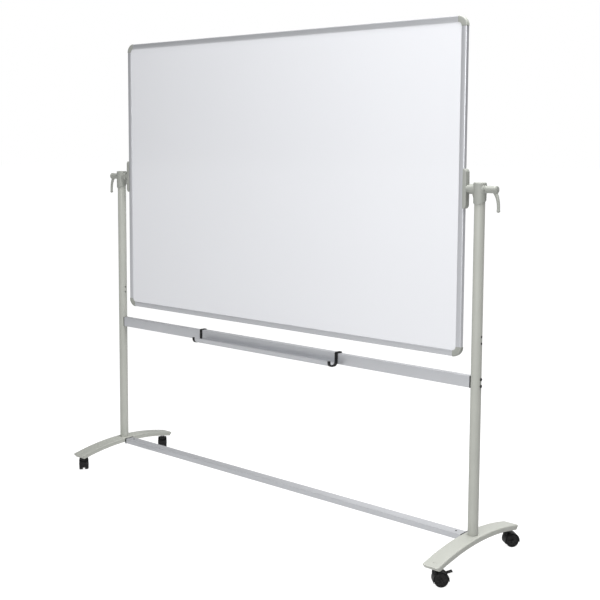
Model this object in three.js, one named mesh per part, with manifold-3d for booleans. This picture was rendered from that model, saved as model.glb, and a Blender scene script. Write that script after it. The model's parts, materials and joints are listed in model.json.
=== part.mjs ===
// Rolling whiteboard: a two-sided 1800 x 1200 mm board that turns over between two uprights.
// Each upright stands on an arched foot with two twin-wheel casters, two crossbars join the
// uprights, and a pen tray hooks over the upper one. Millimetres, +Z up, the pen tray faces -Y,
// and the origin lies on the floor at the middle of the stand.

import * as THREE from "three";
import { mergeVertices } from "three/addons/utils/BufferGeometryUtils.js";
import Module from "manifold-3d";

const wasm = await Module();
wasm.setup();

// ---------- Driving dimensions ----------

const GAP = 0.3; // between pieces that touch

const PIVOT_Z = 1346; // the board turns about this height
const UPRIGHT_X = 960; // upright centre, from the middle
const UPRIGHT_RADIUS = 19;
const UPRIGHT_WALL = 1.5;
const UPRIGHT_TOP = PIVOT_Z - 20;

const BOARD_WIDTH = 1800;
const BOARD_HEIGHT = 1200;
const FRAME_FACE = 22; // width of the frame rail, seen from the front
const FRAME_DEPTH = 18;
const FRAME_LIP = 2.2; // the rail's lips over the panel's edge
const FRAME_GROOVE = 12; // how deep the groove for the panel is
const PANEL_INSET = 11; // from the frame's outer edge to the panel's edge
const CORNER_RADIUS = 36;
const CAP_PROUD = 1; // how far a corner cap stands out beyond the rails
const CORE_THICKNESS = 11.4;
const SHEET_THICKNESS = 0.4;
const RAIL_ROUND = 5; // outer edges of the rail's section
const RAIL_CHAMFER = 1.5; // inner edges
const RAIL_WALL = 2.5; // round the rail's hollow chamber
const CHAMBER_WIDTH = 6;

const BRACKET_HEIGHT = 140;
const BRACKET_FLANGE = 4; // overlap on the frame's front and back
const BRACKET_DEPTH = 22;
const BRACKET_BULGE = 11; // how far it stands out from the frame's side
const BRACKET_BOSS = 13; // radius of the boss that holds the spindle
const HUB_START = 21; // from the frame's side to the housing's hub

const SPINDLE_RADIUS = 8;
const SPINDLE_END = 14; // beyond the upright's centre
const STUD_RADIUS = 4.7;
const STUD_BITE = 34; // how far the stud reaches into the spindle
const HOUSING_RADIUS = 23;
const HOUSING_TOP = PIVOT_Z + 24;
const HOUSING_SKIRT = 56; // from the pivot down to the point of the skirt
const SKIRT_RISE = 26; // the skirt's edge is this much higher at the back than at the front
const HUB_RADIUS = 18;
const BOSS_RADIUS = 13; // on the lever's side
const BOSS_OUT = 1.5; // the boss stands out of the sleeve by this much
const LEVER_HUB_RADIUS = 12.8;
const LEVER_HUB_LENGTH = 44;
const LEVER_CAP = 1.2; // the hub's end cap is this much bigger in radius
const LEVER_REACH = 72.6; // from the pivot down to the middle of the lever's ball
const LEVER_GRIP = 5.4; // half the width of the grip near its ball
const LEVER_BALL = 6.4;
const STUD_SHORT = 12; // the stud stops this far short of the lever hub's end

const BAR_TALL = 43; // the crossbar extrusion's long side
const BAR_THIN = 22;
const BAR_WALL = 2;
const MID_BAR_TOP = 686.5;
const BASE_BAR_TOP = 108;
const INSERT_DEPTH = 36; // how far an end insert reaches into its bar
const INSERT_PROUD = 1; // the lower bar's end cap stands out round the bar
const BOLT_SPACING = 24;
const BOLT_RADIUS = 3;
const SPARE_HOLES_UP = 152; // from the crossbar's bolts up to the spare pair of holes

const TRAY_LEFT = -412;
const TRAY_RIGHT = 332;
const TRAY_WALL = 2;
const TRAY_FLOOR_Z = 640;
const TRAY_DEPTH = 47; // from the crossbar's face to the lip
const TRAY_BEND = 15;
const TRAY_BACK_LIP = 12; // how far the tray reaches down behind the bar
const TRAY_LIP = 6; // above the front bend
const HOOK_WALL = 5;
const HOOK_WIDTH = 12;
const HOOK_LIP = 7;

const FOOT_LENGTH = 552;
const FOOT_WIDTH = 65;
const FOOT_TOP = 111;
const FOOT_DROP = 33; // how much lower the top is at the tips
const FOOT_SIDE = 18;
const FOOT_WALL = 2.5;
const FOOT_UNDERCUT = 14; // the pointed tip overhangs the side wall by this much
const FOOT_TIP_SOLID = 14; // behind the tip
const STEM_BOSS = 11; // radius of the boss under the foot, round a caster's stem

const CASTER_Y = 240; // stem, from the upright
const CASTER_TRAIL = 18;
const WHEEL_RADIUS = 25;
const WHEEL_SIDES = 16;
const WHEEL_INNER_Y = 4.5;
const WHEEL_OUTER_Y = 20.5;
const AXLE_RADIUS = 3;
const AXLE_Z = WHEEL_RADIUS * Math.cos(Math.PI / WHEEL_SIDES); // a flat of the wheel is down
const HOOD_TOP = 61;
const HOOD_INNER = 26;
const HOOD_OUTER = 28.4;
const HOOD_HALF = 19.5;
const HOOD_ARC = [-12, 203]; // the fender's ends, in degrees round the axle
const BOSS_DEEP = 14; // the hood's boss round the stem
const WASHER = 4; // between the hood and the foot
const PEDAL_HALF = 8;
const PEDAL_LENGTH = 21;
const PEDAL_THICK = 3.8;
const PEDAL_KNUCKLE = 2.4;
const PEDAL_LIP = 2.6;
const PEDAL_AT = 47; // where the pedal's knuckle sits, in degrees round the axle
const PEDAL_SLOPE = 16;

// Where each caster stands, which way it trails (degrees from +X), and whether it has a brake.
const CASTERS = [
  { name: "front_left", x: -UPRIGHT_X, y: -CASTER_Y, trails: 144, brake: true },
  { name: "front_right", x: UPRIGHT_X, y: -CASTER_Y, trails: 45, brake: true },
  { name: "back_left", x: -UPRIGHT_X, y: CASTER_Y, trails: 138, brake: false },
  { name: "back_right", x: UPRIGHT_X, y: CASTER_Y, trails: 50, brake: false },
];

// ---------- Materials ----------

const painted = new THREE.MeshStandardMaterial({ color: 0xb9bab3, roughness: 0.45, metalness: 0.1 });
const moulded = new THREE.MeshStandardMaterial({ color: 0xabada6, roughness: 0.5 });
const aluminium = new THREE.MeshStandardMaterial({ color: 0xb8b9bd, roughness: 0.35, metalness: 0.8 });
const steel = new THREE.MeshStandardMaterial({ color: 0x8d8f91, roughness: 0.3, metalness: 1 });
const enamel = new THREE.MeshStandardMaterial({ color: 0xf2f3f6, roughness: 0.12 });
const honeycomb = new THREE.MeshStandardMaterial({ color: 0xc9b48c, roughness: 0.9 });
const black = new THREE.MeshStandardMaterial({ color: 0x17181a, roughness: 0.5 });

// ---------- Helpers ----------

function mesh(name, geometry, material) {
  const made = new THREE.Mesh(geometry, material);
  made.name = name;
  return made;
}

function box(x0, x1, y0, y1, z0, z1) {
  const made = new THREE.BoxGeometry(x1 - x0, y1 - y0, z1 - z0);
  return made.translate((x0 + x1) / 2, (y0 + y1) / 2, (z0 + z1) / 2);
}

// A cylinder from low to high along axis "x", "y" or "z", through the point (x, y, z) across it.
function rod(axis, radius, low, high, { x = 0, y = 0, z = 0, sides = 16 } = {}) {
  const made = new THREE.CylinderGeometry(radius, radius, high - low, sides);
  const middle = (low + high) / 2;
  if (axis === "x") return made.rotateZ(-Math.PI / 2).translate(middle, y, z);
  if (axis === "y") return made.translate(x, middle, z);
  return made.rotateX(Math.PI / 2).translate(x, y, middle);
}

function outline(points, holes = []) {
  const shape = new THREE.Shape(points.map(([u, v]) => new THREE.Vector2(u, v)));
  for (const hole of holes) {
    shape.holes.push(new THREE.Path(hole.map(([u, v]) => new THREE.Vector2(u, v))));
  }
  return shape;
}

// Extrusions of a closed outline: (u, v) is (y, z) along X, (x, z) along Y, and (x, y) along Z.
function extrude(axis, points, low, high, holes) {
  const settings = { depth: high - low, bevelEnabled: false };
  const made = new THREE.ExtrudeGeometry(outline(points, holes), settings);
  const turn = new THREE.Matrix4();
  if (axis === "x") turn.set(0, 0, 1, low, 1, 0, 0, 0, 0, 1, 0, 0, 0, 0, 0, 1);
  if (axis === "y") turn.set(1, 0, 0, 0, 0, 0, -1, high, 0, 1, 0, 0, 0, 0, 0, 1);
  if (axis === "z") turn.makeTranslation(0, 0, low);
  return made.applyMatrix4(turn);
}

function rectangle(width, height, u = 0, v = 0) {
  const [w, h] = [width / 2, height / 2];
  return [[u - w, v - h], [u + w, v - h], [u + w, v + h], [u - w, v + h]];
}

// Points on a circle from one angle to another, in degrees.
function arc(u, v, radius, from, to, steps) {
  return Array.from({ length: steps + 1 }, (_, i) => {
    const angle = THREE.MathUtils.degToRad(from + ((to - from) * i) / steps);
    return [u + radius * Math.cos(angle), v + radius * Math.sin(angle)];
  });
}

function circle(radius, sides) {
  return arc(0, 0, radius, 0, 360, sides).slice(0, sides);
}

function roundedRectangle(width, height, radius, steps) {
  const [u, v] = [width / 2 - radius, height / 2 - radius];
  return [
    ...arc(u, v, radius, 0, 90, steps),
    ...arc(-u, v, radius, 90, 180, steps),
    ...arc(-u, -v, radius, 180, 270, steps),
    ...arc(u, -v, radius, 270, 360, steps),
  ];
}

// A strip of even thickness along an open path, as a closed outline.
function strip(path, thickness) {
  const side = (offset) =>
    path.map(([u, v], i) => {
      const [before, after] = [path[Math.max(i - 1, 0)], path[Math.min(i + 1, path.length - 1)]];
      const a = new THREE.Vector2(u - before[0], v - before[1]).normalize();
      const b = new THREE.Vector2(after[0] - u, after[1] - v).normalize();
      const along = a.add(b).normalize();
      const leg = i > 0 ? new THREE.Vector2(u - before[0], v - before[1]).normalize() : along;
      const mitre = offset / Math.max(along.dot(leg), 0.5);
      return [u - along.y * mitre, v + along.x * mitre];
    });
  return [...side(-thickness / 2), ...side(thickness / 2).reverse()];
}

// A solid through rings of points that each trace the same section, closed at both ends.
function loft(section, rings) {
  const count = section.length;
  const last = (rings.length - 1) * count;
  const points = rings.flat();
  const faces = [];
  for (let i = 0; i + 1 < rings.length; i++) {
    for (let j = 0; j < count; j++) {
      const [a, b] = [i * count + j, i * count + ((j + 1) % count)];
      faces.push([a, b, b + count], [a, b + count, a + count]);
    }
  }
  const flat = section.map(([u, v]) => new THREE.Vector2(u, v));
  const backwards = THREE.ShapeUtils.isClockWise(flat);
  for (const ear of THREE.ShapeUtils.triangulateShape(flat, [])) {
    const [a, b, c] = backwards ? ear.reverse() : ear;
    faces.push([c, b, a], [last + a, last + b, last + c]);
  }
  const volume = ([a, b, c]) => points[a].dot(points[b].clone().cross(points[c]));
  const insideOut = faces.reduce((sum, face) => sum + volume(face), 0) < 0;
  const made = new THREE.BufferGeometry().setFromPoints(points);
  return made.setIndex(faces.flatMap(([a, b, c]) => (insideOut ? [a, c, b] : [a, b, c])));
}

function solid(geometry) {
  const bare = new THREE.BufferGeometry();
  bare.setAttribute("position", geometry.getAttribute("position"));
  bare.setIndex(geometry.getIndex());
  const merged = mergeVertices(bare, 1e-3);
  const vertProperties = merged.attributes.position.array;
  const triVerts = new Uint32Array(merged.index.array);
  return new wasm.Manifold(new wasm.Mesh({ numProp: 3, vertProperties, triVerts }));
}

// The first geometry with others joined to it, and others cut out of it.
function carve(first, { join = [], cut = [] }) {
  let made = solid(first);
  for (const other of join) made = made.add(solid(other));
  for (const other of cut) made = made.subtract(solid(other));
  const { vertProperties, triVerts } = made.getMesh();
  const geometry = new THREE.BufferGeometry();
  geometry.setAttribute("position", new THREE.BufferAttribute(vertProperties, 3));
  geometry.setIndex(new THREE.BufferAttribute(triVerts, 1));
  return geometry;
}

// ---------- Board ----------

// The rail's section: u runs inwards from the frame's outer edge, v through its depth.
function railSection(proud) {
  const [back, front] = [-FRAME_DEPTH / 2 - proud, FRAME_DEPTH / 2 + proud];
  const lip = FRAME_DEPTH / 2 - FRAME_LIP;
  const [edge, inner, groove] = [-proud, FRAME_FACE, FRAME_FACE - FRAME_GROOVE];
  const round = RAIL_ROUND;
  return [
    ...arc(edge + round, front - round, round, 180, 90, 3).reverse(),
    ...arc(edge + round, back + round, round, 270, 180, 3).reverse(),
    [inner - RAIL_CHAMFER, back],
    [inner, back + RAIL_CHAMFER],
    [inner, -lip],
    [groove, -lip],
    [groove, lip],
    [inner, lip],
    [inner, front - RAIL_CHAMFER],
    [inner - RAIL_CHAMFER, front],
  ];
}

const CHAMBER_DEPTH = FRAME_DEPTH - 2 * RAIL_WALL;
const CHAMBER_IN = RAIL_WALL + CHAMBER_WIDTH / 2; // the chamber's middle, from the outer edge

function longRail() {
  const section = railSection(0).map(([u, v]) => [-v, -u]);
  const chamber = rectangle(CHAMBER_DEPTH, CHAMBER_WIDTH, 0, -CHAMBER_IN);
  const half = BOARD_WIDTH / 2 - CORNER_RADIUS - GAP;
  return extrude("x", section, -half, half, [chamber]).translate(0, 0, BOARD_HEIGHT / 2);
}

function shortRail() {
  const section = railSection(0).map(([u, v]) => [-u, v]);
  const chamber = rectangle(CHAMBER_WIDTH, CHAMBER_DEPTH, -CHAMBER_IN, 0);
  const half = BOARD_HEIGHT / 2 - CORNER_RADIUS - GAP;
  return extrude("z", section.reverse(), -half, half, [chamber]).translate(BOARD_WIDTH / 2, 0, 0);
}

// The rail's section swept through a quarter turn: one corner of the frame.
function cornerCap() {
  const section = railSection(CAP_PROUD);
  const steps = 7;
  const rings = Array.from({ length: steps + 1 }, (_, i) => {
    const angle = (Math.PI / 2) * (i / steps);
    return section.map(([u, v]) => {
      const radius = CORNER_RADIUS - u;
      return new THREE.Vector3(radius * Math.cos(angle), v, radius * Math.sin(angle));
    });
  });
  const inset = CORNER_RADIUS;
  return loft(section, rings).translate(BOARD_WIDTH / 2 - inset, 0, BOARD_HEIGHT / 2 - inset);
}

function panel(thickness) {
  const [width, height] = [BOARD_WIDTH - 2 * PANEL_INSET, BOARD_HEIGHT - 2 * PANEL_INSET];
  const radius = CORNER_RADIUS - PANEL_INSET;
  const points = roundedRectangle(width, height, radius, 4);
  return extrude("y", points, -thickness / 2, thickness / 2);
}

// The side bracket clasps the frame's edge and holds the spindle. Outwards is +X.
function sideBracket() {
  const edge = BOARD_WIDTH / 2;
  const [half, bulge] = [BRACKET_HEIGHT / 2, edge + BRACKET_BULGE];
  const lower = [[edge - BRACKET_FLANGE, -half], [edge + 2, -half], [edge + 7, 3 - half]];
  lower.push([bulge - 1, 9 - half], [bulge, 20 - half]);
  const upper = lower.map(([x, z]) => [x, -z]).reverse();
  const points = [...lower, ...upper];
  const depth = BRACKET_DEPTH / 2;
  const frame = FRAME_DEPTH / 2 + GAP;
  const bossEnd = edge + HUB_START - GAP;
  return carve(extrude("y", points, -depth, depth), {
    join: [rod("x", BRACKET_BOSS, bulge - 4, bossEnd, { sides: 24 })],
    cut: [
      box(edge - FRAME_FACE, edge + GAP, -frame, frame, -half - 1, half + 1),
      rod("x", SPINDLE_RADIUS + GAP, edge - 1, bossEnd + 1, { sides: 24 }),
    ],
  });
}

// The spindle turns in the housing, and the clamp's stud screws into its end.
function spindle() {
  const [start, end] = [BOARD_WIDTH / 2 + GAP, UPRIGHT_X + SPINDLE_END];
  return carve(rod("x", SPINDLE_RADIUS, start, end, { sides: 24 }), {
    cut: [rod("x", STUD_RADIUS + GAP, end - STUD_BITE - 6, end + 1)],
  });
}

function board() {
  const group = new THREE.Group();
  group.position.z = PIVOT_Z;
  const sheetY = CORE_THICKNESS / 2 + GAP + SHEET_THICKNESS / 2;
  group.add(mesh("board_core", panel(CORE_THICKNESS), honeycomb));
  group.add(mesh("front_sheet", panel(SHEET_THICKNESS).translate(0, -sheetY, 0), enamel));
  group.add(mesh("back_sheet", panel(SHEET_THICKNESS).translate(0, sheetY, 0), enamel));
  for (const [name, turn] of [["top", 0], ["bottom", Math.PI]]) {
    group.add(mesh("frame_rail_" + name, longRail().rotateY(turn), aluminium));
  }
  for (const [name, turn] of [["right", 0], ["left", Math.PI]]) {
    group.add(mesh("frame_rail_" + name, shortRail().rotateY(turn), aluminium));
    group.add(mesh("corner_cap_top_" + name, cornerCap().rotateZ(turn), moulded));
    const upsideDown = cornerCap().rotateX(Math.PI).rotateZ(turn);
    group.add(mesh("corner_cap_bottom_" + name, upsideDown, moulded));
    group.add(mesh("side_bracket_" + name, sideBracket().rotateZ(turn), moulded));
    group.add(mesh("pivot_spindle_" + name, spindle().rotateZ(turn), steel));
  }
  return group;
}

// ---------- Uprights, pivots and clamps, made for the right side ----------

function boltHeights() {
  const middle = MID_BAR_TOP - BAR_TALL / 2;
  return [middle - BOLT_SPACING / 2, middle + BOLT_SPACING / 2];
}

function upright() {
  const ring = [circle(UPRIGHT_RADIUS - UPRIGHT_WALL, 24).reverse()];
  const tube = extrude("z", circle(UPRIGHT_RADIUS, 24), FOOT_TOP + GAP, UPRIGHT_TOP, ring);
  const heights = boltHeights().flatMap((z) => [z, z + SPARE_HOLES_UP]);
  const reach = UPRIGHT_RADIUS + 5;
  const holes = heights.map((z) => rod("x", BOLT_RADIUS + 0.4, -reach, reach, { z, sides: 10 }));
  return carve(tube, { cut: holes });
}

// The sleeve on the upright's top. Its lower edge comes to a point at the front and rises
// evenly round both sides to the back.
function sleeve() {
  const [bottom, top] = [-HOUSING_SKIRT, HOUSING_TOP - PIVOT_Z];
  const profile = [[0, bottom], [HOUSING_RADIUS, bottom], [HOUSING_RADIUS, top - 4]];
  profile.push([HOUSING_RADIUS - 1.5, top - 1.2], [HOUSING_RADIUS - 5, top], [0, top]);
  const points = profile.map(([radius, z]) => new THREE.Vector2(radius, z));
  const made = new THREE.LatheGeometry(points, 32).rotateX(Math.PI / 2);
  const place = made.getAttribute("position");
  for (let i = 0; i < place.count; i++) {
    if (place.getZ(i) > bottom + 1) continue;
    const fromFront = Math.abs(Math.atan2(place.getX(i), -place.getY(i)));
    const turn = Math.hypot(place.getX(i), place.getY(i)) < 1 ? 0.5 : fromFront / Math.PI;
    place.setZ(i, bottom + SKIRT_RISE * turn);
  }
  return made;
}

// A tee-shaped cap on the upright: the sleeve, a hub for the spindle, and a boss for the lever.
function pivotHousing() {
  const inner = BOARD_WIDTH / 2 + HUB_START + GAP - UPRIGHT_X;
  const outer = HOUSING_RADIUS + BOSS_OUT;
  const tubeRoom = UPRIGHT_TOP - PIVOT_Z + GAP;
  return carve(sleeve(), {
    join: [
      rod("x", HUB_RADIUS, inner, outer - 6, { sides: 24 }),
      rod("x", BOSS_RADIUS, 0, outer),
    ],
    cut: [
      rod("z", UPRIGHT_RADIUS + GAP, -HOUSING_SKIRT - 1, tubeRoom, { sides: 24 }),
      rod("x", SPINDLE_RADIUS + GAP, inner - 1, SPINDLE_END + GAP, { sides: 24 }),
      rod("x", STUD_RADIUS + GAP, 0, outer + 1),
    ],
  }).translate(UPRIGHT_X, 0, PIVOT_Z);
}

// One cross-section of the lever's handle: an oval about a point of its middle line.
function leverRing(centre, along, halfWidth, halfDepth) {
  const across = new THREE.Vector3(-along.z, 0, along.x);
  return circle(1, 12).map(([u, v]) =>
    centre.clone().addScaledVector(across, u * halfWidth).add(new THREE.Vector3(0, v * halfDepth, 0)),
  );
}

// The grip leaves the hub near its end, bends and hangs straight down.
function leverHandle(end) {
  const root = new THREE.Vector3(end - 11, 0, -6);
  const knee = new THREE.Vector3(end + 7, 0, -28);
  const tip = new THREE.Vector3(end + 5.5, 0, -LEVER_REACH);
  const middle = new THREE.QuadraticBezierCurve3(root, knee, tip);
  const steps = 9;
  const rings = Array.from({ length: steps + 1 }, (_, i) => {
    const t = i / steps;
    const halfWidth = LEVER_GRIP + 3.5 * (1 - t) ** 2;
    return leverRing(middle.getPoint(t), middle.getTangent(t), halfWidth, LEVER_GRIP);
  });
  return { handle: loft(circle(1, 12), rings), tip };
}

function clampLever() {
  const start = HOUSING_RADIUS + BOSS_OUT + GAP;
  const end = start + LEVER_HUB_LENGTH;
  const { handle, tip } = leverHandle(end);
  const ball = new THREE.SphereGeometry(LEVER_BALL, 12, 8).translate(tip.x, tip.y, tip.z);
  const [radius, length, cap] = [LEVER_HUB_RADIUS, LEVER_HUB_LENGTH, 5];
  const profile = [[0, 0], [radius - 1, 0], [radius, 1.5], [radius, length - cap - 1]];
  profile.push([radius + LEVER_CAP, length - cap], [radius + LEVER_CAP, length - 1]);
  profile.push([radius - 3, length + 2], [0, length + 3]);
  const points = profile.map(([r, x]) => new THREE.Vector2(r, x));
  const hub = new THREE.LatheGeometry(points, 20).rotateZ(-Math.PI / 2).translate(start, 0, 0);
  return carve(hub, {
    join: [handle, ball],
    cut: [rod("x", STUD_RADIUS + GAP, start - 1, end - STUD_SHORT + 1)],
  }).translate(UPRIGHT_X, 0, PIVOT_Z);
}

function clampStud() {
  const start = UPRIGHT_X + SPINDLE_END - STUD_BITE;
  const end = UPRIGHT_X + HOUSING_RADIUS + LEVER_HUB_LENGTH - STUD_SHORT;
  return rod("x", STUD_RADIUS, start, end, { z: PIVOT_Z, sides: 12 });
}

// ---------- Crossbars ----------

function crossbar(tall, thin, half) {
  const walls = [rectangle(thin - 2 * BAR_WALL, tall - 2 * BAR_WALL).reverse()];
  return extrude("x", rectangle(thin, tall), -half, half, walls);
}

const MID_BAR_END = UPRIGHT_X - UPRIGHT_RADIUS - 1.5;
const BASE_BAR_END = UPRIGHT_X - FOOT_WIDTH / 2 - 5.5;

// An end insert: a plug inside the bar, and a flange that closes the bar's end.
function endInsert(tall, thin, end, reach, proud, cut) {
  const room = 2 * (BAR_WALL + GAP);
  const [y, z] = [(thin - room) / 2, (tall - room) / 2];
  const [deep, high] = [thin / 2 + proud, tall / 2 + proud];
  const flange = box(end + GAP, reach, -deep, deep, -high, high);
  return carve(flange, { join: [box(end - INSERT_DEPTH, end + 1, -y, y, -z, z)], cut });
}

function midInsert() {
  const half = BAR_TALL / 2;
  const saddle = rod("z", UPRIGHT_RADIUS + GAP, -half - 1, half + 1, { x: UPRIGHT_X, sides: 24 });
  const bores = [-1, 1].map((sign) =>
    rod("x", BOLT_RADIUS + GAP, 0, UPRIGHT_X, { z: (sign * BOLT_SPACING) / 2, sides: 10 }),
  );
  const reach = UPRIGHT_X - UPRIGHT_RADIUS / 2;
  return endInsert(BAR_TALL, BAR_THIN, MID_BAR_END, reach, 0, [saddle, ...bores]);
}

function baseInsert() {
  const reach = UPRIGHT_X - FOOT_WIDTH / 2 - GAP;
  return endInsert(BAR_THIN, BAR_TALL, BASE_BAR_END, reach, INSERT_PROUD, []);
}

// A pan-head bolt through the upright into the crossbar's end insert.
function crossbarBolt(z) {
  const seat = UPRIGHT_X + UPRIGHT_RADIUS + GAP;
  const start = MID_BAR_END - INSERT_DEPTH + 6;
  const profile = [[0, 0], [7, 0], [7, 2.5], [5, 4.5], [0, 5]];
  const points = profile.map(([radius, x]) => new THREE.Vector2(radius, x));
  const head = new THREE.LatheGeometry(points, 14).rotateZ(-Math.PI / 2).translate(seat, 0, 0);
  const shank = rod("x", BOLT_RADIUS, start, seat + 1, { sides: 10 });
  return carve(head, { join: [shank] }).translate(0, 0, z);
}

// ---------- Pen tray ----------

// The middle line of a wall that hooks over the crossbar, hangs down its front and turns up
// into a trough: (y, z) points, from the short lip behind the bar to the front lip.
function trayPath(wall, lip) {
  const side = BAR_THIN / 2 + GAP + wall / 2;
  const top = MID_BAR_TOP + GAP + wall / 2;
  const front = -BAR_THIN / 2 - TRAY_DEPTH;
  const bend = TRAY_FLOOR_Z + TRAY_BEND;
  return [
    [side, top - TRAY_BACK_LIP],
    [side, top],
    [-side, top],
    ...arc(-side - TRAY_BEND, bend, TRAY_BEND, 0, -90, 5),
    ...arc(front + TRAY_BEND, bend, TRAY_BEND, -90, -180, 5),
    [front, bend + lip],
  ];
}

function penTray() {
  const group = new THREE.Group();
  const profile = strip(trayPath(TRAY_WALL, TRAY_LIP), TRAY_WALL);
  group.add(mesh("pen_tray", extrude("x", profile, TRAY_LEFT, TRAY_RIGHT), aluminium));
  const hook = strip(trayPath(HOOK_WALL, HOOK_LIP), HOOK_WALL);
  const [left, right] = [TRAY_LEFT - GAP - HOOK_WIDTH, TRAY_RIGHT + GAP];
  group.add(mesh("tray_hook_left", extrude("x", hook, left, left + HOOK_WIDTH), black));
  group.add(mesh("tray_hook_right", extrude("x", hook, right, right + HOOK_WIDTH), black));
  return group;
}

// ---------- Feet ----------

const footTopAt = (y) => FOOT_TOP - FOOT_DROP * (y / (FOOT_LENGTH / 2)) ** 2;

// The bow seen from the side, from the arched top down to "depth" below it.
function bow(halfTop, halfBottom, drop, depth) {
  const steps = 14;
  const across = (half, i) => -half + (2 * half * i) / steps;
  const line = (half, down) =>
    Array.from({ length: steps + 1 }, (_, i) => [across(half, i), footTopAt(across(half, i)) - down]);
  return [...line(halfBottom, depth), ...line(halfTop, drop).reverse()];
}

function foot() {
  const half = FOOT_LENGTH / 2;
  const side = FOOT_WIDTH / 2;
  const outside = bow(half, half - FOOT_UNDERCUT, 0, FOOT_SIDE);
  const innerEnd = half - FOOT_UNDERCUT - FOOT_WALL;
  const inside = bow(half - FOOT_TIP_SOLID, innerEnd, FOOT_WALL, FOOT_SIDE + 2);
  const hollow = side - FOOT_WALL;
  const stems = [-CASTER_Y, CASTER_Y];
  const stemTop = footTopAt(CASTER_Y) - FOOT_WALL;
  const bosses = stems.map((y) => rod("z", STEM_BOSS, HOOD_TOP + WASHER, stemTop + 1, { y }));
  const bores = stems.map((y) => rod("z", STUD_RADIUS + GAP, HOOD_TOP, stemTop - 1, { y }));
  const shell = carve(extrude("x", outside, -side, side), {
    cut: [extrude("x", inside, -hollow, hollow)],
  });
  return carve(shell, { join: bosses, cut: bores });
}

// ---------- Casters, with the stem at the local origin and the wheels trailing towards +X ----------

function casterStem() {
  const top = footTopAt(CASTER_Y) - FOOT_WALL - 1.5;
  const washer = rod("z", STEM_BOSS - 1, HOOD_TOP + GAP, HOOD_TOP + WASHER - GAP);
  const stem = rod("z", STUD_RADIUS, HOOD_TOP - BOSS_DEEP + 2, top, { sides: 12 });
  return carve(stem, { join: [washer] });
}

// The hood: a web between the wheels, a fender over them, and a boss for the stem.
function casterHood(brake) {
  const [from, to] = HOOD_ARC;
  const fender = [
    ...arc(CASTER_TRAIL, AXLE_Z, HOOD_OUTER, from, to, 14),
    ...arc(CASTER_TRAIL, AXLE_Z, HOOD_INNER, to, from, 14),
  ];
  const web = [
    ...arc(CASTER_TRAIL, AXLE_Z, HOOD_INNER + 1, 5, 175, 12),
    ...arc(CASTER_TRAIL, AXLE_Z, 9, 200, 340, 6),
  ];
  const webHalf = WHEEL_INNER_Y - 0.5;
  const about = { x: CASTER_TRAIL, z: AXLE_Z, sides: 24 };
  const cut = [
    rod("y", HOOD_INNER, webHalf, HOOD_HALF + 1, about),
    rod("y", HOOD_INNER, -HOOD_HALF - 1, -webHalf, about),
    rod("z", STUD_RADIUS + GAP, HOOD_TOP - BOSS_DEEP + 1.5, HOOD_TOP + 1),
    rod("y", AXLE_RADIUS + GAP, -webHalf - 1, webHalf + 1, { x: CASTER_TRAIL, z: AXLE_Z }),
  ];
  if (brake) {
    const [start, room] = [CASTER_TRAIL + 12.6, PEDAL_HALF + 1.2];
    cut.push(box(start, start + 30, -room, room, 32, 60));
  }
  return carve(extrude("y", fender, -HOOD_HALF, HOOD_HALF), {
    join: [
      extrude("y", web, -webHalf, webHalf),
      rod("z", STEM_BOSS - 0.5, HOOD_TOP - BOSS_DEEP, HOOD_TOP),
    ],
    cut,
  });
}

function casterAxle() {
  const half = WHEEL_OUTER_Y - 1;
  return rod("y", AXLE_RADIUS, -half, half, { x: CASTER_TRAIL, z: AXLE_Z, sides: 12 });
}

// One wheel, with a rounded tread and a dished outer face with a raised hub.
function casterWheel(side) {
  const [inner, outer] = [WHEEL_INNER_Y, WHEEL_OUTER_Y];
  const profile = [
    [AXLE_RADIUS + GAP, inner],
    [WHEEL_RADIUS - 1.5, inner],
    [WHEEL_RADIUS, inner + 2],
    [WHEEL_RADIUS, outer - 4],
    [WHEEL_RADIUS - 3.5, outer],
    [WHEEL_RADIUS - 6, outer],
    [WHEEL_RADIUS - 8, outer - 3],
    [8, outer - 3],
    [7, outer],
    [AXLE_RADIUS + GAP, outer],
  ];
  const points = profile.map(([radius, y]) => new THREE.Vector2(radius, y));
  points.push(points[0].clone());
  const wheel = new THREE.LatheGeometry(points, WHEEL_SIDES).rotateY(Math.PI / WHEEL_SIDES);
  if (side < 0) wheel.rotateX(Math.PI);
  return wheel.translate(CASTER_TRAIL, 0, AXLE_Z);
}

// The brake pedal: a knuckle in the fender's slot, and a plate that slopes up from it.
function brakePedal() {
  const middle = (HOOD_INNER + HOOD_OUTER) / 2 + GAP;
  const angle = THREE.MathUtils.degToRad(PEDAL_AT);
  const slope = THREE.MathUtils.degToRad(PEDAL_SLOPE);
  const [x, z] = [CASTER_TRAIL + middle * Math.cos(angle), AXLE_Z + middle * Math.sin(angle)];
  const [half, thick] = [PEDAL_HALF, PEDAL_THICK / 2];
  const plate = box(0, PEDAL_LENGTH, -half, half, -thick, thick).rotateY(-slope).translate(x, 0, z);
  const lipAt = { x: x + PEDAL_LENGTH * Math.cos(slope), z: z + PEDAL_LENGTH * Math.sin(slope) };
  const lip = rod("y", PEDAL_LIP, -half, half, { ...lipAt, sides: 10 });
  return carve(rod("y", PEDAL_KNUCKLE, -half, half, { x, z, sides: 10 }), { join: [plate, lip] });
}

function caster({ name, x, y, trails, brake }) {
  const group = new THREE.Group();
  group.position.set(x, y, 0);
  group.rotation.z = THREE.MathUtils.degToRad(trails);
  group.add(mesh("caster_stem_" + name, casterStem(), steel));
  group.add(mesh("caster_hood_" + name, casterHood(brake), black));
  group.add(mesh("caster_axle_" + name, casterAxle(), steel));
  group.add(mesh("caster_wheel_" + name + "_a", casterWheel(1), black));
  group.add(mesh("caster_wheel_" + name + "_b", casterWheel(-1), black));
  if (brake) group.add(mesh("brake_pedal_" + name, brakePedal(), black));
  return group;
}

// ---------- Assembly ----------

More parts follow.
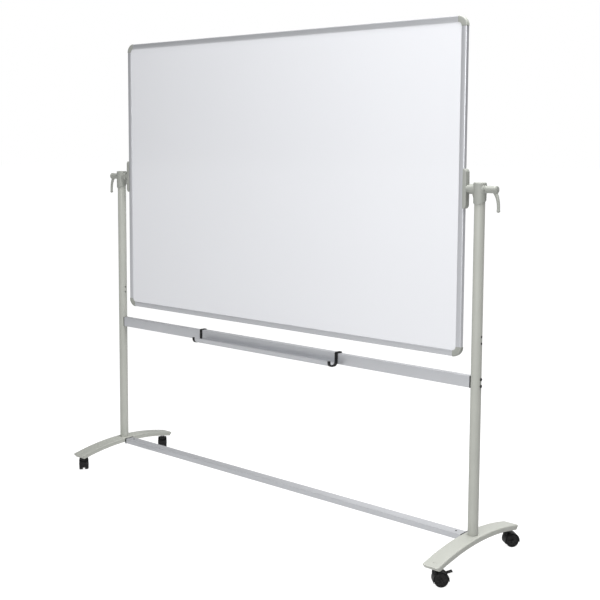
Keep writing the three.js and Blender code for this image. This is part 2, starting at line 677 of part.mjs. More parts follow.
function sideAssembly(name) {
  const group = new THREE.Group();
  group.add(mesh("foot_" + name, foot().translate(UPRIGHT_X, 0, 0), painted));
  group.add(mesh("upright_" + name, upright().translate(UPRIGHT_X, 0, 0), painted));
  group.add(mesh("pivot_housing_" + name, pivotHousing(), moulded));
  group.add(mesh("clamp_lever_" + name, clampLever(), moulded));
  group.add(mesh("clamp_stud_" + name, clampStud(), steel));
  const midInsertAt = midInsert().translate(0, 0, MID_BAR_TOP - BAR_TALL / 2);
  group.add(mesh("mid_bar_insert_" + name, midInsertAt, black));
  const baseInsertAt = baseInsert().translate(0, 0, BASE_BAR_TOP - BAR_THIN / 2);
  group.add(mesh("base_bar_insert_" + name, baseInsertAt, black));
  boltHeights().forEach((z, i) => {
    const place = i === 0 ? "lower" : "upper";
    group.add(mesh("mid_bar_bolt_" + name + "_" + place, crossbarBolt(z), steel));
  });
  if (name === "left") group.scale.x = -1;
  return group;
}

function stand() {
  const group = new THREE.Group();
  group.add(sideAssembly("left"), sideAssembly("right"));
  const midBar = crossbar(BAR_TALL, BAR_THIN, MID_BAR_END);
  midBar.translate(0, 0, MID_BAR_TOP - BAR_TALL / 2);
  group.add(mesh("mid_crossbar", midBar, aluminium));
  const baseBar = crossbar(BAR_THIN, BAR_TALL, BASE_BAR_END);
  baseBar.translate(0, 0, BASE_BAR_TOP - BAR_THIN / 2);
  group.add(mesh("base_crossbar", baseBar, aluminium));
  return group;
}

const whiteboard = new THREE.Group();
whiteboard.add(stand(), penTray(), board());
for (const place of CASTERS) whiteboard.add(caster(place));

export default whiteboard;
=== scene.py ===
"""Rolling whiteboard: fine pieces, materials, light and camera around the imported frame.

Metres, +Z up. The board's writing side and the pen tray face -Y. The left and right sides
mirror each other, so side pieces are made for the right side and mirrored for the left.
"""

import json
import math

import bmesh
import bpy
from mathutils import Matrix, Vector

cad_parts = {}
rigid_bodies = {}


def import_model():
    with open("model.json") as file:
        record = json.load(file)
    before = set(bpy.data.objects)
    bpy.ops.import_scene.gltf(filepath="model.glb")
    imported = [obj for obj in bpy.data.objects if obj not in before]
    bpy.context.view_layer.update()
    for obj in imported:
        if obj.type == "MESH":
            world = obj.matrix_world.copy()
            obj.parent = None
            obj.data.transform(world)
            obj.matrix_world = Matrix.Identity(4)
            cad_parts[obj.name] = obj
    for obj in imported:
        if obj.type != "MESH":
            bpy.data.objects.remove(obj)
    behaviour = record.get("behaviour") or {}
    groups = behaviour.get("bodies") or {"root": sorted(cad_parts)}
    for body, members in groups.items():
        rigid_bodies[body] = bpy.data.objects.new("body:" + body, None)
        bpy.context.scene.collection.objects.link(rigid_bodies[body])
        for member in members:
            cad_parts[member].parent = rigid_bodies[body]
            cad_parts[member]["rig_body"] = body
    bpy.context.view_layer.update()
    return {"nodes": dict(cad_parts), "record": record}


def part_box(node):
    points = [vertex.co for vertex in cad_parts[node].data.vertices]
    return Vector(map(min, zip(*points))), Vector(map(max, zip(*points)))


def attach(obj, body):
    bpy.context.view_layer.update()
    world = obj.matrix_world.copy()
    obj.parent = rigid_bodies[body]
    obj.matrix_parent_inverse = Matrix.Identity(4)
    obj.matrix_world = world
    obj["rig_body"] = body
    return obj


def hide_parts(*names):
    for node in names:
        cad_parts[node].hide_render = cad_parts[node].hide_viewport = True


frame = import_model()

MM = 0.001
GAP = 0.3 * MM  # play between pieces that touch
SIDES = {"left": -1, "right": 1}


# ---------- Camera, at the photograph's viewing angle ----------

CAMERA_AT = Vector((2.8685, -3.1750, 1.4967))
CAMERA_YAW = 0.71279  # to the left of +Y, in radians
CAMERA_PITCH = 0.0915  # below the horizon
CAMERA_ROLL = 0.00503
CAMERA_LENS = 63.094
CAMERA_SHIFT = (0.00417, -0.0981)


def camera():
    made = bpy.data.objects.new("camera", bpy.data.cameras.new("camera"))
    bpy.context.collection.objects.link(made)
    turn = Matrix.Rotation(CAMERA_YAW, 4, "Z")
    tilt = Matrix.Rotation(math.pi / 2 - CAMERA_PITCH, 4, "X")
    roll = Matrix.Rotation(CAMERA_ROLL, 4, "Z")
    made.matrix_world = Matrix.Translation(CAMERA_AT) @ turn @ tilt @ roll
    made.data.sensor_width = 36
    made.data.lens = CAMERA_LENS
    made.data.shift_x, made.data.shift_y = CAMERA_SHIFT
    made.data.clip_end = 200
    bpy.context.scene.camera = made


# ---------- Materials ----------


class Nodes:
    """Short calls for building one material's node tree."""

    def __init__(self, name):
        self.material = bpy.data.materials.new(name)
        self.material.use_nodes = True
        self.tree = self.material.node_tree
        self.shader = self.tree.nodes["Principled BSDF"]
        self.place = self.add("ShaderNodeTexCoord").outputs["Object"]

    def add(self, kind, **settings):
        node = self.tree.nodes.new(kind)
        for key, value in settings.items():
            setattr(node, key, value)
        return node

    def link(self, output, to):
        self.tree.links.new(output, to)

    def surface(self, metallic=0.0, roughness=0.5, **sockets):
        self.shader.inputs["Metallic"].default_value = metallic
        self.shader.inputs["Roughness"].default_value = roughness
        for name, value in sockets.items():
            self.shader.inputs[name.replace("_", " ")].default_value = value

    def stretched(self, scale):
        """Object coordinates with each axis scaled, so that a texture can run along one axis."""
        mapping = self.add("ShaderNodeMapping")
        mapping.inputs["Scale"].default_value = scale
        self.link(self.place, mapping.inputs["Vector"])
        return mapping.outputs["Vector"]

    def noise(self, scale, detail=3.0, roughness=0.5, along=None):
        node = self.add("ShaderNodeTexNoise")
        node.inputs["Scale"].default_value = scale
        node.inputs["Detail"].default_value = detail
        node.inputs["Roughness"].default_value = roughness
        self.link(along or self.place, node.inputs["Vector"])
        return node.outputs["Fac"]

    def spread(self, value, low, high, start=0.3, end=0.7):
        """Maps a value from start..end to low..high."""
        node = self.add("ShaderNodeMapRange")
        node.inputs["From Min"].default_value = start
        node.inputs["From Max"].default_value = end
        node.inputs["To Min"].default_value = low
        node.inputs["To Max"].default_value = high
        self.link(value, node.inputs["Value"])
        return node.outputs["Result"]

    def colour(self, value, dark, light):
        """The base colour, from dark to light as value goes from 0 to 1."""
        ramp = self.add("ShaderNodeValToRGB")
        ramp.color_ramp.elements[0].color = (*dark, 1)
        ramp.color_ramp.elements[1].color = (*light, 1)
        self.link(value, ramp.inputs["Fac"])
        self.link(ramp.outputs["Color"], self.shader.inputs["Base Color"])

    def rough(self, value):
        self.link(value, self.shader.inputs["Roughness"])

    def bump(self, height, strength, distance):
        node = self.add("ShaderNodeBump")
        node.inputs["Strength"].default_value = strength
        node.inputs["Distance"].default_value = distance
        self.link(height, node.inputs["Height"])
        self.link(node.outputs["Normal"], self.shader.inputs["Normal"])


def shades(colour, spread):
    """The same colour a little darker and a little lighter."""
    return [[c * factor for c in colour] for factor in (1 - spread, 1 + spread)]


def painted_steel():
    """Light grey powder coat, with its fine orange peel."""
    nodes = Nodes("painted_steel")
    nodes.surface(roughness=0.42)
    cloud = nodes.noise(9, detail=5)
    nodes.colour(nodes.spread(cloud, 0, 1), *shades((0.420, 0.429, 0.392), 0.03))
    nodes.rough(nodes.spread(nodes.noise(60), 0.38, 0.48))
    nodes.bump(nodes.noise(900, detail=2), 0.25, 0.0002)
    return nodes.material


def moulded_grey():
    """Moulded plastic in the same grey, with a spark-eroded grain and faint flow marks."""
    nodes = Nodes("moulded_grey")
    nodes.surface(roughness=0.5)
    flow = nodes.noise(28, detail=4)
    nodes.colour(nodes.spread(flow, 0, 1), *shades((0.312, 0.322, 0.296), 0.04))
    nodes.rough(nodes.spread(nodes.noise(160), 0.42, 0.55))
    nodes.bump(nodes.noise(1700, detail=2), 0.3, 0.0002)
    return nodes.material


def aluminium(name, along):
    """Satin anodised extrusion, with fine die lines along its length."""
    nodes = Nodes(name)
    nodes.surface(metallic=0.6, roughness=0.36)
    across = [1400, 1400, 1400]
    across["xyz".index(along)] = 1.2
    lines = nodes.noise(1, detail=3, along=nodes.stretched(across))
    cloud = nodes.noise(5, detail=4)
    nodes.colour(nodes.spread(cloud, 0, 1), *shades((0.566, 0.576, 0.600), 0.025))
    nodes.rough(nodes.spread(lines, 0.31, 0.42))
    nodes.bump(lines, 0.12, 0.0001)
    return nodes.material


def bare_steel():
    """Turned and plated steel."""
    nodes = Nodes("bare_steel")
    nodes.surface(metallic=1.0, roughness=0.3)
    cloud = nodes.noise(300, detail=3)
    nodes.colour(nodes.spread(cloud, 0, 1), *shades((0.42, 0.42, 0.43), 0.08))
    nodes.rough(nodes.spread(cloud, 0.24, 0.38))
    nodes.bump(nodes.noise(2500), 0.15, 0.0001)
    return nodes.material


def black_steel():
    """Blackened fastener heads."""
    nodes = Nodes("black_steel")
    nodes.surface(metallic=0.6, roughness=0.42)
    cloud = nodes.noise(400, detail=3)
    nodes.colour(nodes.spread(cloud, 0, 1), *shades((0.035, 0.035, 0.036), 0.2))
    nodes.rough(nodes.spread(cloud, 0.36, 0.5))
    nodes.bump(nodes.noise(2500), 0.2, 0.0001)
    return nodes.material


def white_enamel():
    """Glossy white enamel, barely wavy, with faint wiping marks in its gloss."""
    nodes = Nodes("white_enamel")
    nodes.surface(roughness=0.1, Coat_Weight=0.35, Coat_Roughness=0.05)
    cloud = nodes.noise(1.1, detail=2)
    nodes.colour(nodes.spread(cloud, 0, 1), *shades((0.748, 0.757, 0.786), 0.006))
    wipes = nodes.noise(1, detail=4, along=nodes.stretched((5, 5, 45)))
    nodes.rough(nodes.spread(wipes, 0.1, 0.16))
    nodes.bump(nodes.noise(14, detail=1), 0.03, 0.0006)
    return nodes.material


def honeycomb():
    """Kraft paper core, hidden inside the board."""
    nodes = Nodes("honeycomb")
    nodes.surface(roughness=0.9)
    cells = nodes.add("ShaderNodeTexVoronoi")
    cells.inputs["Scale"].default_value = 70
    nodes.link(nodes.place, cells.inputs["Vector"])
    nodes.colour(cells.outputs["Distance"], (0.42, 0.31, 0.18), (0.62, 0.48, 0.30))
    nodes.bump(cells.outputs["Distance"], 0.4, 0.001)
    return nodes.material


def black_plastic():
    """Black moulded plastic, with a fine grain and slightly duller patches."""
    nodes = Nodes("black_plastic")
    nodes.surface(roughness=0.5, Specular_IOR_Level=0.3)
    cloud = nodes.noise(90, detail=4)
    nodes.colour(nodes.spread(cloud, 0, 1), *shades((0.0065, 0.0066, 0.0072), 0.2))
    nodes.rough(nodes.spread(cloud, 0.42, 0.58))
    nodes.bump(nodes.noise(1500, detail=2), 0.3, 0.0002)
    return nodes.material


def wheel_black():
    """Black nylon wheel, with a little floor dust."""
    nodes = Nodes("wheel_black")
    nodes.surface(roughness=0.5, Specular_IOR_Level=0.3)
    dust = nodes.noise(140, detail=6, roughness=0.65)
    clean, dusty = (0.006, 0.006, 0.0066), (0.028, 0.027, 0.025)
    nodes.colour(nodes.spread(dust, 0, 1, 0.45, 0.85), clean, dusty)
    nodes.rough(nodes.spread(dust, 0.42, 0.7))
    nodes.bump(dust, 0.25, 0.0003)
    return nodes.material


LOOKS = {
    "painted_steel": painted_steel(),
    "moulded_grey": moulded_grey(),
    "aluminium": aluminium("aluminium", "x"),
    "aluminium_upright": aluminium("aluminium_upright", "z"),
    "bare_steel": bare_steel(),
    "black_steel": black_steel(),
    "white_enamel": white_enamel(),
    "honeycomb": honeycomb(),
    "black_plastic": black_plastic(),
    "wheel_black": wheel_black(),
}
SLOTS = {row["node"]: row["material_slot"] for row in frame["record"]["subparts"]}


# ---------- Shapes: each one is (points, faces), closed ----------


def arc(u, v, radius, start, end, steps):
    """Points on a circle from one angle to another, in degrees."""
    angles = [math.radians(start + (end - start) * i / steps) for i in range(steps + 1)]
    return [(u + radius * math.cos(a), v + radius * math.sin(a)) for a in angles]


def rounded_rectangle(width, height, radius, steps=6, u=0.0, v=0.0):
    du, dv = width / 2 - radius, height / 2 - radius
    points = arc(u + du, v + dv, radius, 0, 90, steps)
    points += arc(u - du, v + dv, radius, 90, 180, steps)
    points += arc(u - du, v - dv, radius, 180, 270, steps)
    return points + arc(u + du, v - dv, radius, 270, 360, steps)


def placed(axis, u, v, t):
    """An outline's (u, v) at a distance t along the axis: (y, z), (x, z) or (x, y)."""
    return {"x": (t, u, v), "y": (u, t, v), "z": (u, v, t)}[axis]


def loft(rings):
    """A solid through rings of points, with a flat face at each end."""
    count = len(rings[0])
    points = [tuple(point) for ring in rings for point in ring]
    last = (len(rings) - 1) * count
    faces = [tuple(range(count)), tuple(range(last, last + count))]
    for i in range(0, last, count):
        for j in range(count):
            k = (j + 1) % count
            faces.append((i + j, i + k, i + count + k, i + count + j))
    return points, faces


def prism(outline, low, high, axis):
    return loft([[placed(axis, u, v, t) for u, v in outline] for t in (low, high)])


def rod(radius, low, high, axis, u=0.0, v=0.0, sides=48):
    return prism(arc(u, v, radius, 0, 360, sides)[:-1], low, high, axis)


def block(low, high):
    x, y, z = high
    outline = [(low[0], low[1]), (x, low[1]), (x, y), (low[0], y)]
    return prism(outline, low[2], z, "z")


def lathe(profile, sides, axis):
    """A profile of (radius, t) turned about the axis. It starts and ends on the axis, or closes
    on itself."""
    points, rows = [], []
    for radius, t in profile:
        count = 1 if radius < 1e-9 else sides
        rows.append([len(points) + i for i in range(count)])
        for u, v in arc(0, 0, radius, 0, 360, sides)[:count]:
            points.append(placed(axis, u, v, t))
    pairs = list(zip(rows, rows[1:]))
    if len(rows[0]) > 1:
        pairs.append((rows[-1], rows[0]))
    faces = []
    for a, b in pairs:
        for i in range(sides):
            j = (i + 1) % sides
            corners = [a[i % len(a)], a[j % len(a)], b[j % len(b)], b[i % len(b)]]
            faces.append(tuple(dict.fromkeys(corners)))
    return points, faces


def strip(path, thickness, round_ends=True):
    """A closed outline of even thickness along an open path of (u, v) points."""
    half = thickness / 2
    sides = ([], [])
    for i, (u, v) in enumerate(path):
        before, after = Vector(path[max(i - 1, 0)]), Vector(path[min(i + 1, len(path) - 1)])
        here = Vector((u, v))
        legs = [leg.normalized() for leg in (here - before, after - here) if leg.length > 0]
        along = sum(legs, Vector((0, 0))).normalized()
        mitre = half / max(along.dot(legs[0]), 0.5)
        normal = Vector((-along.y, along.x)) * mitre
        sides[0].append(tuple(here + normal))
        sides[1].append(tuple(here - normal))
    outline = sides[0] + sides[1][::-1]
    if not round_ends:
        return outline
    ends = []
    for end, inner in ((path[-1], path[-2]), (path[0], path[1])):
        angle = math.degrees(math.atan2(end[1] - inner[1], end[0] - inner[0]))
        ends.append(arc(*end, half, angle + 90, angle - 90, 8)[1:-1])
    return sides[0] + ends[0] + sides[1][::-1] + ends[1]


def joined(*shapes):
    points, faces = [], []
    for more_points, more_faces in shapes:
        start = len(points)
        points += more_points
        faces += [tuple(start + i for i in face) for face in more_faces]
    return points, faces


def moved(shape, matrix):
    points, faces = shape
    return [tuple(matrix @ Vector(point)) for point in points], faces


def mirrored(shape, side):
    return moved(shape, Matrix.Scale(SIDES[side], 4, (1, 0, 0)))


def solid(name, shape):
    """A mesh object with every face turned outwards."""
    points, faces = shape
    mesh = bpy.data.meshes.new(name)
    mesh.from_pydata(points, [], faces)
    work = bmesh.new()
    work.from_mesh(mesh)
    bmesh.ops.recalc_face_normals(work, faces=work.faces)
    work.to_mesh(mesh)
    work.free()
    made = bpy.data.objects.new(name, mesh)
    bpy.context.collection.objects.link(made)
    return made


def with_modifiers(made, *others):
    """The shape that an object's modifiers give. The objects are removed."""
    ready = made.evaluated_get(bpy.context.evaluated_depsgraph_get()).to_mesh()
    points = [tuple(vertex.co) for vertex in ready.vertices]
    faces = [tuple(polygon.vertices) for polygon in ready.polygons]
    for used in (made, *others):
        bpy.data.objects.remove(used)
    return points, faces


def without(shape, *cutters):
    """The shape with the cutters taken out of it."""
    made, cutter = solid("temporary", shape), solid("cutter", joined(*cutters))
    cut = made.modifiers.new("cut", "BOOLEAN")
    cut.operation, cut.solver, cut.object = "DIFFERENCE", "EXACT", cutter
    cut.use_self = True
    return with_modifiers(made, cutter)


def fused(shape, voxel, rounds):
    """Overlapping solids made one, with their edges and inner corners softened."""
    made = solid("temporary", shape)
    remesh = made.modifiers.new("remesh", "REMESH")
    remesh.mode, remesh.voxel_size = "VOXEL", voxel
    soften = made.modifiers.new("soften", "SMOOTH")
    soften.factor, soften.iterations = 0.5, rounds
    return with_modifiers(made)


def dress(piece, slot, look=None, bevel=0.0, bevel_angle=30, crease=35):
    """Gives a piece its slot's look, or another, with soft shading and, if asked, round edges."""
    piece.data.materials.clear()
    piece.data.materials.append(LOOKS[look or slot])
    piece.data.shade_smooth()
    piece.data.set_sharp_from_angle(angle=math.radians(crease))
    if bevel:
        edge = piece.modifiers.new("edges", "BEVEL")
        edge.width, edge.segments, edge.limit_method = bevel, 3, "ANGLE"
        edge.angle_limit = math.radians(bevel_angle)
        edge.harden_normals = True


def add(name, shape, body, slot, nodes=(), **dressing):
    """A piece that rides on a body and stands for CAD nodes."""
    piece = solid(name, shape)
    dress(piece, slot, **dressing)
    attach(piece, body)
    if nodes:
        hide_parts(*nodes)
    return piece


def replace(node, shape, **dressing):
    """A fine piece in place of one CAD node, on the same body and in the same slot."""
    body = frame["nodes"][node]["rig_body"]
    return add(node + ".fine", shape, body, SLOTS[node], [node], **dressing)


def keep(node, **dressing):
    """A CAD node whose own shape shows, with its material."""
    dress(frame["nodes"][node], SLOTS[node], **dressing)


def size(node):
    low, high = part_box(node)
    return high - low


def centre(node):
    low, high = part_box(node)
    return (low + high) / 2


# ---------- Board ----------

RAIL_FACE = size("frame_rail_right").x
RAIL_DEPTH = size("frame_rail_right").y
RAIL_LIP = 2.2 * MM
RAIL_GROOVE = 12 * MM
RAIL_CROWN = 0.8 * MM  # the rail's face is slightly arched
RAIL_ROUND = 4 * MM
RAIL_LIP_ROUND = 0.8 * MM
BOARD_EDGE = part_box("frame_rail_right")[1].x
BOARD_MIDDLE = centre("frame_rail_right").z
CAP_PROUD = size("corner_cap_top_right").y / 2 - RAIL_DEPTH / 2


def crowned(u, proud):
    """How far the rail's face stands from the board's middle plane, u in from its outer edge."""
    middle = RAIL_FACE / 2
    return RAIL_DEPTH / 2 + proud - RAIL_CROWN * ((u - middle) / middle) ** 2


def rail_face(proud):
    """One arched face of the rail, from its rounded outer corner to its inner lip."""
    start = RAIL_ROUND - proud
    corner_v = crowned(start, proud) - RAIL_ROUND
    corner = arc(start, corner_v, RAIL_ROUND, 180, 90, 6)
    steps = 10
    last = RAIL_FACE - RAIL_LIP_ROUND
    arch = [start + (last - start) * i / steps for i in range(1, steps + 1)]
    lip = crowned(RAIL_FACE, proud)
    face = [(u, crowned(u, proud)) for u in arch]
    return corner + face + [(RAIL_FACE, lip - RAIL_LIP_ROUND)]


def rail_section(proud=0.0):
    """(u, v) points: u runs inwards from the frame's outer edge, v through its depth."""
    front = rail_face(proud)
    back = [(u, -v) for u, v in front][::-1]
    lip = RAIL_DEPTH / 2 - RAIL_LIP
    groove = RAIL_FACE - RAIL_GROOVE
    return front + [(RAIL_FACE, lip), (groove, lip), (groove, -lip), (RAIL_FACE, -lip)] + back


def rails():
    for side, sign in SIDES.items():
        node = "frame_rail_" + side
        low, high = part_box(node)
        outline = [(sign * (BOARD_EDGE - u), v) for u, v in rail_section()]
        replace(node, prism(outline, low.z, high.z, "z"), look="aluminium_upright", crease=50)
    for place, sign in (("top", 1), ("bottom", -1)):
        node = "frame_rail_" + place
        low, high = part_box(node)
        edge = high.z if sign > 0 else low.z
        outline = [(v, edge - sign * u) for u, v in rail_section()]
        replace(node, prism(outline, low.x, high.x, "x"), crease=50)


def corner_cap(radius, steps=20):
    """The rail's section through a quarter turn, round the local origin, towards +X and +Z."""
    rings = []
    for i in range(steps + 1):
        angle = math.radians(90 * i / steps)
        along = Vector((math.cos(angle), 0, math.sin(angle)))
        ring = [along * (radius - u) + Vector((0, v, 0)) for u, v in rail_section(CAP_PROUD)]
        rings.append(ring)
    return loft(rings)


def corner_caps():
    for side, sign in SIDES.items():
        for place, up in (("top", 1), ("bottom", -1)):
            node = f"corner_cap_{place}_{side}"
            radius = size(node).x - CAP_PROUD
            cap = corner_cap(radius)
            low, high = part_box(node)
            at = Vector((low.x if sign > 0 else high.x, 0, low.z if up > 0 else high.z))
            flip = Matrix.Diagonal((sign, 1, up, 1))
            replace(node, moved(cap, Matrix.Translation(at) @ flip), bevel=0.6 * MM, bevel_angle=60)


BRACKET_HALF = size("side_bracket_right").z / 2
BRACKET_DEPTH = size("side_bracket_right").y / 2
BRACKET_FLANGE = BOARD_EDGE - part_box("side_bracket_right")[0].x
BRACKET_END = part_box("side_bracket_right")[1].x
BRACKET_BULGE = 11 * MM
BRACKET_BOSS = 13 * MM
BRACKET_TAPER = 7 * MM  # the bracket's ends stand out this much less
BRACKET_SHOULDER = 0.82  # where the taper starts, as a part of the half height
BRACKET_CORNER = 3.5 * MM
BRACKET_TIP = 5 * MM  # the flange's corners are rounded over this height
BRACKET_TIP_IN = 3 * MM
SPINDLE_RADIUS = size("pivot_spindle_right").y / 2


def bracket_reach(height):
    """How far the bracket stands out from the frame's edge, at a height from its middle."""
    t = abs(height) / BRACKET_HALF
    shoulder = max(0.0, (t - BRACKET_SHOULDER) / (1 - BRACKET_SHOULDER))
    return BRACKET_BULGE * (1 - 0.06 * t ** 2) - BRACKET_TAPER * shoulder ** 2


def bracket_ring(height):
    """The bracket's section at one height: a clasp round the frame's edge, with round corners."""
    edge = BOARD_EDGE
    reach = edge + bracket_reach(height)
    tip = max(0.0, (abs(height) - BRACKET_HALF + BRACKET_TIP) / BRACKET_TIP)
    rounding = 1 - math.sqrt(max(0.0, 1 - tip ** 2))
    flange = edge - BRACKET_FLANGE + BRACKET_TIP_IN * rounding
    depth = BRACKET_DEPTH - 1 * MM * tip ** 2
    room = RAIL_DEPTH / 2 + GAP
    corner = min(BRACKET_CORNER, (reach - edge) / 2)
    front = [(flange, -room), (flange, -depth + 1 * MM), (flange + 1 * MM, -depth)]
    front += arc(reach - corner, -depth + corner, corner, 270, 360, 6)
    back = [(x, -y) for x, y in front][::-1]
    wall = edge + GAP
    outline = front + back + [(wall, room), (wall, -room)]
    return [(x, y, BOARD_MIDDLE + height) for x, y in outline]


def side_brackets():
    """A clasp on the frame's edge, with a boss that holds the pivot spindle."""
    steps = 40
    heights = [BRACKET_HALF * math.sin(math.pi / 2 * (2 * i / steps - 1)) for i in range(steps + 1)]
    clasp = loft([bracket_ring(height) for height in heights])
    boss = rod(BRACKET_BOSS, BOARD_EDGE + 3 * MM, BRACKET_END, "x", v=BOARD_MIDDLE)
    start, end = BOARD_EDGE - 1 * MM, BRACKET_END + 1 * MM
    bore = rod(SPINDLE_RADIUS + GAP, start, end, "x", v=BOARD_MIDDLE)
    shape = fused(without(joined(clasp, boss), bore), 0.5 * MM, 2)
    for side in SIDES:
        replace("side_bracket_" + side, mirrored(shape, side), crease=60)


def board():
    keep("board_core")
    keep("front_sheet")
    keep("back_sheet")
    rails()
    corner_caps()
    side_brackets()
    for side in SIDES:
        keep("pivot_spindle_" + side)


# ---------- Uprights, pivots and clamp levers ----------

UPRIGHT_X = centre("upright_right").x
UPRIGHT_RADIUS = size("upright_right").x / 2
UPRIGHT_LOW, UPRIGHT_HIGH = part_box("upright_right")
UPRIGHT_WALL = 1.5 * MM
PIVOT_Z = BOARD_MIDDLE
BOLT_HEIGHTS = [centre("mid_bar_bolt_right_" + place).z for place in ("lower", "upper")]
BOLT_HOLE = 3.4 * MM
BOLT_HOLE_ROOM = 6 * MM  # the tube has a ring of edges this far above and below each hole
SPARE_HOLES_UP = 152 * MM
HOUSING_RADIUS = size("pivot_housing_right").y / 2
HOUSING_LOW, HOUSING_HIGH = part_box("pivot_housing_right")


def uprights():
    """A tube with the crossbar's bolt holes and a spare pair above them."""
    heights = sorted(BOLT_HEIGHTS + [z + SPARE_HOLES_UP for z in BOLT_HEIGHTS])
    rows = [UPRIGHT_LOW.z]
    for z in heights:
        rows += [z - BOLT_HOLE_ROOM, z + BOLT_HOLE_ROOM]
    rows.append(UPRIGHT_HIGH.z)
    outer = [(UPRIGHT_RADIUS, z) for z in rows]
    inner = [(UPRIGHT_RADIUS - UPRIGHT_WALL, z) for z in (UPRIGHT_HIGH.z, UPRIGHT_LOW.z)]
    tube = lathe(outer + inner, 64, "z")
    reach = UPRIGHT_RADIUS + 11 * MM
    drills = [rod(BOLT_HOLE, -reach, reach, "x", v=z, sides=20) for z in heights]
    shape = moved(without(tube, *drills), Matrix.Translation((UPRIGHT_X, 0, 0)))
    for side in SIDES:
        replace("upright_" + side, mirrored(shape, side), crease=40)


SKIRT_RISE = 26 * MM  # the skirt's edge is this much higher at the back than at the front
HUB_RADIUS = 18 * MM
BOSS_RADIUS = 13 * MM
COLLAR_RADIUS = 17.5 * MM
RIB_HALF = 9 * MM


def sleeve():
    """The housing's sleeve. Its lower edge is pointed at the front and rises round both sides."""
    radius, low, top = HOUSING_RADIUS, HOUSING_LOW.z, HOUSING_HIGH.z
    profile = [(0, low), (radius - 0.4 * MM, low), (radius, PIVOT_Z - 20 * MM)]
    profile += arc(radius - 4 * MM, top - 4 * MM, 4 * MM, 0, 90, 6)
    points, faces = lathe(profile + [(0, top)], 96, "z")
    edged = []
    for x, y, z in points:
        turn = 0.5 if math.hypot(x, y) < 1 * MM else abs(math.atan2(x, -y)) / math.pi
        edged.append((x, y, z + (SKIRT_RISE * turn if z < low + 1 * MM else 0)))
    return edged, faces


def pivot_housings():
    """A tee on top of the upright: a sleeve, a hub towards the board with a rib under it, and a
    collared boss for the lever."""
    inner, outer = HOUSING_LOW.x - UPRIGHT_X, HOUSING_HIGH.x - UPRIGHT_X
    hub = rod(HUB_RADIUS, inner, 0, "x", v=PIVOT_Z)
    boss = rod(BOSS_RADIUS, 0, outer, "x", v=PIVOT_Z)
    collar = rod(COLLAR_RADIUS, 0, outer - 2.5 * MM, "x", v=PIVOT_Z)
    under_hub, under_sleeve = PIVOT_Z - 14 * MM, PIVOT_Z - 36 * MM
    web = [(inner + 12 * MM, under_hub), (0, PIVOT_Z), (0, under_sleeve)]
    web.append((1 * MM - HOUSING_RADIUS, under_sleeve + 6 * MM))
    rib = prism(web, -RIB_HALF, RIB_HALF, "y")
    bore = rod(UPRIGHT_RADIUS + GAP, HOUSING_LOW.z - 10 * MM, UPRIGHT_HIGH.z, "z")
    tee = without(joined(sleeve(), hub, boss, collar, rib), bore)
    shape = moved(fused(tee, 0.6 * MM, 3), Matrix.Translation((UPRIGHT_X, 0, 0)))
    for side in SIDES:
        replace("pivot_housing_" + side, mirrored(shape, side), crease=60)


LEVER_LOW, LEVER_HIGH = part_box("clamp_lever_right")
LEVER_BALL = 6.4 * MM
LEVER_GRIP = 5.4 * MM  # half the width of the grip near its ball
LEVER_HUB = 12.8 * MM
LEVER_HUB_LENGTH = 44 * MM
LEVER_CAP = 14 * MM
LEVER_ROOT = 3.5 * MM  # the grip is this much wider, each way, where it leaves the hub


def lever_handle(hub_end):
    """A curved grip that leaves the hub near its end and hangs down, with a ball at its tip."""
    root = Vector((hub_end - 11 * MM, 0, -6 * MM))
    knee = Vector((hub_end + 7 * MM, 0, -28 * MM))
    tip = Vector((LEVER_HIGH.x - LEVER_BALL, 0, LEVER_LOW.z - PIVOT_Z + LEVER_BALL))
    steps = 20
    rings = []
    for i in range(steps + 1):
        t = i / steps
        middle = root * (1 - t) ** 2 + knee * 2 * t * (1 - t) + tip * t ** 2
        along = ((knee - root) * (1 - t) + (tip - knee) * t).normalized()
        across = Vector((-along.z, 0, along.x))
        wide = LEVER_GRIP + LEVER_ROOT * (1 - t) ** 2
        deep = LEVER_GRIP - 1.6 * MM * max(0.0, t - 0.75)
        circle = arc(0, 0, 1, 0, 360, 24)[:-1]
        rings.append([middle + across * u * wide + Vector((0, v * deep, 0)) for u, v in circle])
    ball = [(0, -LEVER_BALL)] + arc(0, 0, LEVER_BALL, -80, 80, 12) + [(0, LEVER_BALL)]
    return joined(loft(rings), moved(lathe(ball, 32, "z"), Matrix.Translation(tip)))


def lever_hub(start, end):
    """The lever's barrel, with a groove before its slightly larger end cap."""
    profile = [(0, start), (LEVER_HUB - 1.2 * MM, start), (LEVER_HUB, start + 1.2 * MM)]
    profile += [(LEVER_HUB, end - 7.5 * MM), (LEVER_HUB - 0.9 * MM, end - 6.2 * MM)]
    profile += [(LEVER_CAP, end - 5 * MM), (LEVER_CAP, end - 1 * MM)]
    profile += [(LEVER_CAP - 4 * MM, end + 2 * MM), (0, end + 3 * MM)]
    return lathe(profile, 64, "x")


def clamp_levers():
    end = LEVER_LOW.x + LEVER_HUB_LENGTH
    whole = fused(joined(lever_hub(LEVER_LOW.x, end), lever_handle(end)), 0.5 * MM, 2)
    shape = moved(whole, Matrix.Translation((0, 0, PIVOT_Z)))
    for side in SIDES:
        replace("clamp_lever_" + side, mirrored(shape, side), crease=60)
        keep("clamp_stud_" + side)


# ---------- Crossbars ----------


CROSSBAR_ROUND = 2.5 * MM


def crossbars():
    """Aluminium extrusions with rounded edges."""
    for node in ("mid_crossbar", "base_crossbar"):
        low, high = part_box(node)
        extent = high - low
        outline = rounded_rectangle(extent.y, extent.z, CROSSBAR_ROUND, 6, 0, centre(node).z)
        replace(node, prism(outline, low.x, high.x, "x"))


